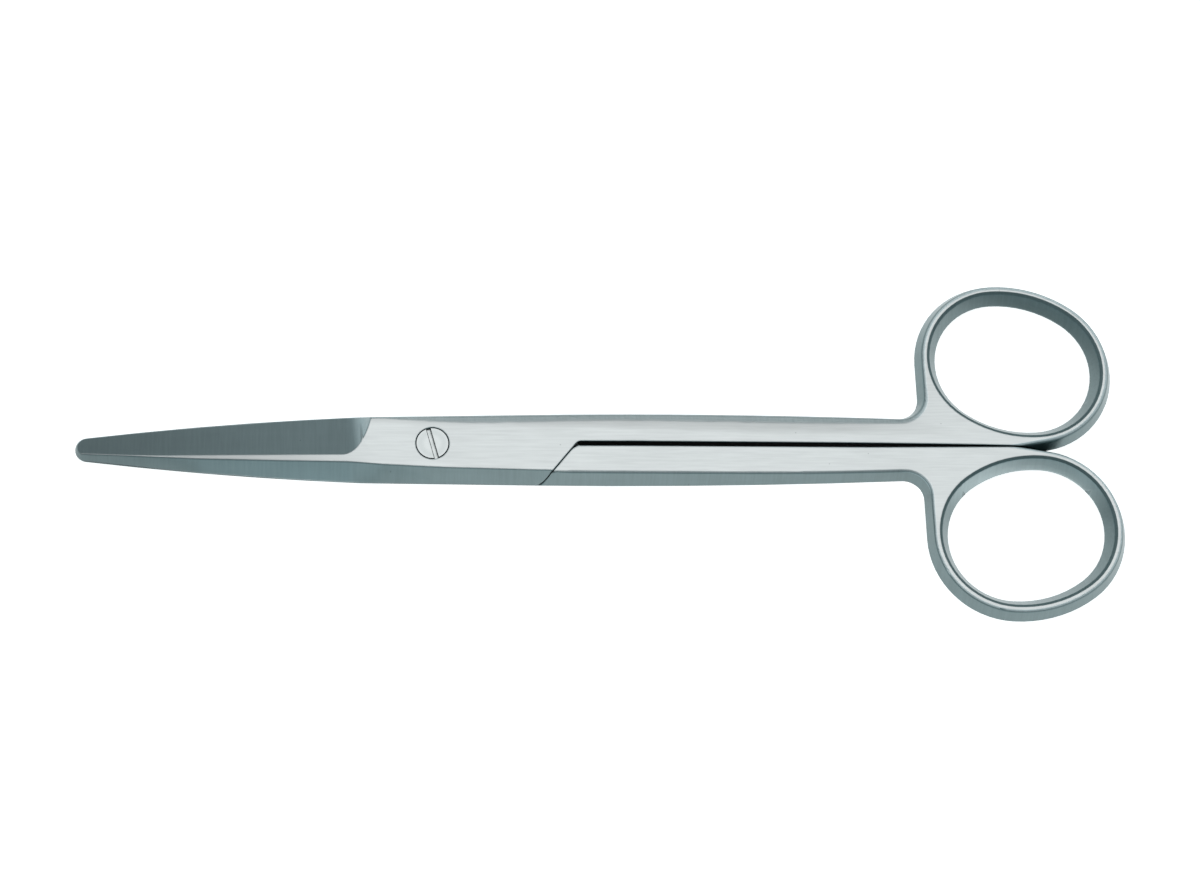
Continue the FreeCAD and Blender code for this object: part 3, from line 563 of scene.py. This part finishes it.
def thread_tree(material, sizes):
    """Geometry nodes that wind a sharp thread round the plain end of a screw, with its sizes as inputs."""
    tree = bpy.data.node_groups.new("screw_thread", "GeometryNodeTree")
    tree.interface.new_socket("Geometry", in_out="INPUT", socket_type="NodeSocketGeometry")
    for name, size in sizes.items():
        socket = tree.interface.new_socket(name, in_out="INPUT", socket_type="NodeSocketFloat")
        socket.default_value = size
    tree.interface.new_socket("Geometry", in_out="OUTPUT", socket_type="NodeSocketGeometry")
    given = add_node(tree, "NodeGroupInput").outputs
    ridge = add_node(tree, "ShaderNodeMath", {0: given["Pitch"], 1: 0.5}, operation="MULTIPLY")
    root = add_node(
        tree, "ShaderNodeMath", {0: given["Crest radius"], 1: ridge.outputs[0]}, operation="SUBTRACT"
    )
    height = add_node(tree, "ShaderNodeMath", {0: given["Pitch"], 1: given["Turns"]}, operation="MULTIPLY")
    helix = add_node(
        tree, "GeometryNodeCurveSpiral",
        {
            "Resolution": TURN_STEPS, "Rotations": given["Turns"], "Height": height.outputs[0],
            "Start Radius": root.outputs[0], "End Radius": root.outputs[0],
        },
    )
    upright = add_node(tree, "GeometryNodeSetCurveNormal", {"Curve": helix.outputs[0]}, mode="Z_UP")
    # A circle of four corners stands on one of them, as a thread's crest does.
    section = add_node(tree, "GeometryNodeCurvePrimitiveCircle", {"Resolution": 4, "Radius": ridge.outputs[0]})
    thread = add_node(
        tree, "GeometryNodeCurveToMesh",
        {"Curve": upright.outputs[0], "Profile Curve": section.outputs[0], "Fill Caps": True},
    )
    lift = add_node(tree, "ShaderNodeCombineXYZ", {"Z": given["Start"]})
    placed = add_node(
        tree, "GeometryNodeTransform", {"Geometry": thread.outputs[0], "Translation": lift.outputs[0]}
    )
    both = add_node(tree, "GeometryNodeJoinGeometry")
    tree.links.new(placed.outputs[0], both.inputs[0])
    tree.links.new(given["Geometry"], both.inputs[0])
    real = add_node(tree, "GeometryNodeRealizeInstances", {"Geometry": both.outputs[0]})
    finished = add_node(tree, "GeometryNodeSetMaterial", {"Geometry": real.outputs[0], "Material": material})
    add_node(tree, "NodeGroupOutput", {0: finished.outputs[0]})
    return tree


def plain_mesh(thing, name):
    """Mesh of an object as its modifiers leave it, on a new object without any."""
    graph = bpy.context.evaluated_depsgraph_get()
    mesh = bpy.data.meshes.new_from_object(thing.evaluated_get(graph))
    mesh.name = name
    piece = bpy.data.objects.new(name, mesh)
    bpy.context.scene.collection.objects.link(piece)
    bpy.data.objects.remove(thing)
    return piece


class SCISSORS_OT_make_screw(bpy.types.Operator):
    """Turn the pivot screw, cut its slot and wind its thread"""

    bl_idname = "scissors.make_screw"
    bl_label = "Make screw"

    def execute(self, context):
        screw = context.scene.scissors_screw
        under_head = SCREW_TOP - screw.head_height
        pitch = screw.thread_pitch
        root = screw.thread_radius - pitch / 2
        broken = screw.chamfer
        profile = (
            (0, SCREW_TOP),
            (HEAD_RADIUS - screw.head_chamfer, SCREW_TOP),
            (HEAD_RADIUS, SCREW_TOP - screw.head_chamfer),
            (HEAD_RADIUS, under_head),
            (screw.journal_radius, under_head),
            (screw.journal_radius, screw.journal_end),
            (root, screw.journal_end),
            (root, broken),
            (root - broken, 0),
            (0, 0),
        )
        body = bpy.data.objects.new("screw_body", lathe("screw_body", profile, HEAD_STEPS))
        context.scene.collection.objects.link(body)
        cutter = slot_cutter(screw)
        context.scene.collection.objects.link(cutter)
        slot = body.modifiers.new("slot", "BOOLEAN")
        slot.operation = "DIFFERENCE"
        slot.solver = "EXACT"
        slot.object = cutter
        sizes = {
            "Crest radius": screw.thread_radius * MM,
            "Pitch": pitch * MM,
            "Turns": (screw.journal_end - pitch) / pitch,
            "Start": pitch / 2 * MM,
        }
        thread = body.modifiers.new("thread", "NODES")
        thread.node_group = thread_tree(turned_steel(screw), sizes)
        for item in thread.node_group.interface.items_tree:
            if item.name in sizes:
                thread[item.identifier] = sizes[item.name]
        piece = plain_mesh(body, "slotted_pivot_screw")
        bpy.data.objects.remove(cutter)
        piece.data.set_sharp_from_angle(angle=math.radians(SCREW_CORNER))
        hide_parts("pivot_screw")
        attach(piece, "lower")
        return {"FINISHED"}


class SCISSORS_OT_build_stage(bpy.types.Operator):
    """Lay the white table top, hang the lamp and place the camera"""

    bl_idname = "scissors.build_stage"
    bl_label = "Build stage"

    def execute(self, context):
        stage = context.scene.scissors_stage
        build_floor(stage)
        build_light(stage)
        build_camera(stage)
        context.scene.view_settings.view_transform = "Standard"
        return {"FINISHED"}


def build_floor(stage):
    """White table top: lit like paper, and white where the camera and reflections see it."""
    half = stage.floor_size / 2
    mesh = bpy.data.meshes.new("table_top")
    mesh.from_pydata([(-half, -half, 0), (half, -half, 0), (half, half, 0), (-half, half, 0)], [], [(0, 1, 2, 3)])
    floor = bpy.data.objects.new("table_top", mesh)
    bpy.context.scene.collection.objects.link(floor)
    floor.location.z = -TABLE_GAP
    material, tree = new_material("white_paper")
    path = add_node(tree, "ShaderNodeLightPath")
    seen = path.outputs["Is Camera Ray"]
    for ray in ("Is Glossy Ray", "Is Transmission Ray"):
        seen = add_node(tree, "ShaderNodeMath", {0: seen, 1: path.outputs[ray]}, operation="MAXIMUM").outputs[0]
    glow = add_node(tree, "ShaderNodeMath", {0: seen, 1: stage.paper_glow}, operation="MULTIPLY")
    paper = add_node(tree, "ShaderNodeBsdfDiffuse", {"Color": linear(stage.paper_colour)})
    light = add_node(tree, "ShaderNodeEmission", {"Color": (1, 1, 1, 1), "Strength": glow.outputs[0]})
    both = add_node(tree, "ShaderNodeAddShader", {0: paper.outputs[0], 1: light.outputs[0]})
    add_node(tree, "ShaderNodeOutputMaterial", {"Surface": both.outputs[0]})
    floor.data.materials.append(material)


def build_light(stage):
    """One large softbox where the faces mirror it, in a dim, faintly blue-green room."""
    lamp_data = bpy.data.lights.new("softbox", "AREA")
    lamp_data.shape = "RECTANGLE"
    lamp_data.size = stage.lamp_width
    lamp_data.size_y = stage.lamp_depth
    lamp_data.energy = stage.key_power
    lamp = bpy.data.objects.new("softbox", lamp_data)
    bpy.context.scene.collection.objects.link(lamp)
    lamp.location = stage.lamp_place
    direction = Vector(stage.lamp_target) - lamp.location
    lamp.rotation_euler = direction.to_track_quat("-Z", "Y").to_euler()
    world = bpy.data.worlds.new("dim_room")
    bpy.context.scene.world = world
    world.use_nodes = True
    tree = world.node_tree
    background = tree.nodes["Background"]
    background.inputs["Color"].default_value = linear(stage.room_colour)
    place = add_node(tree, "ShaderNodeTexCoord")
    way = add_node(tree, "ShaderNodeSeparateXYZ", {"Vector": place.outputs["Generated"]})
    glow = add_node(
        tree, "ShaderNodeMapRange",
        {
            "Value": way.outputs["Z"], "From Min": stage.low_limit, "From Max": stage.high_limit,
            "To Min": stage.low_light, "To Max": stage.room_light,
        },
        interpolation_type="SMOOTHSTEP",
    )
    tree.links.new(glow.outputs["Result"], background.inputs["Strength"])


def build_camera(stage):
    """Camera at the photograph's viewing angle, looking down on the front faces."""
    towards = Vector((-stage.camera_lean_x, -stage.camera_lean_y, 1.0)).normalized()
    target = Vector(stage.view_middle) * MM
    right = (Vector((1, 0, 0)) - towards * towards.x).normalized()
    up = towards.cross(right)
    camera_data = bpy.data.cameras.new("camera")
    camera_data.sensor_width = 36.0
    camera_data.lens = stage.lens
    camera = bpy.data.objects.new("camera", camera_data)
    bpy.context.scene.collection.objects.link(camera)
    turn = Matrix((right, up, towards)).transposed()
    camera.matrix_world = Matrix.Translation(target + towards * stage.camera_distance) @ turn.to_4x4()
    bpy.context.scene.camera = camera


class SCISSORS_PT_panel(bpy.types.Panel):
    """Sizes and colours of the scissors, with a button for each part of the work"""

    bl_idname = "SCISSORS_PT_panel"
    bl_label = "Dissecting scissors"
    bl_space_type = "VIEW_3D"
    bl_region_type = "UI"
    bl_category = "Scissors"

    def draw(self, context):
        for group, operator in (
            (context.scene.scissors_finish, "scissors.finish_halves"),
            (context.scene.scissors_screw, "scissors.make_screw"),
            (context.scene.scissors_stage, "scissors.build_stage"),
        ):
            box = self.layout.box()
            for name in group.__annotations__:
                box.prop(group, name)
            box.operator(operator)


CLASSES = (
    ScissorsFinish,
    ScissorsScrew,
    ScissorsStage,
    SCISSORS_OT_finish_halves,
    SCISSORS_OT_make_screw,
    SCISSORS_OT_build_stage,
    SCISSORS_PT_panel,
)


def register():
    for item in CLASSES:
        bpy.utils.register_class(item)
    bpy.types.Scene.scissors_finish = bpy.props.PointerProperty(type=ScissorsFinish)
    bpy.types.Scene.scissors_screw = bpy.props.PointerProperty(type=ScissorsScrew)
    bpy.types.Scene.scissors_stage = bpy.props.PointerProperty(type=ScissorsStage)


def unregister():
    del bpy.types.Scene.scissors_stage
    del bpy.types.Scene.scissors_screw
    del bpy.types.Scene.scissors_finish
    for item in reversed(CLASSES):
        bpy.utils.unregister_class(item)


def main():
    register()
    bpy.ops.scissors.finish_halves()
    bpy.ops.scissors.make_screw()
    bpy.ops.scissors.build_stage()


if __name__ == "__main__":
    main()
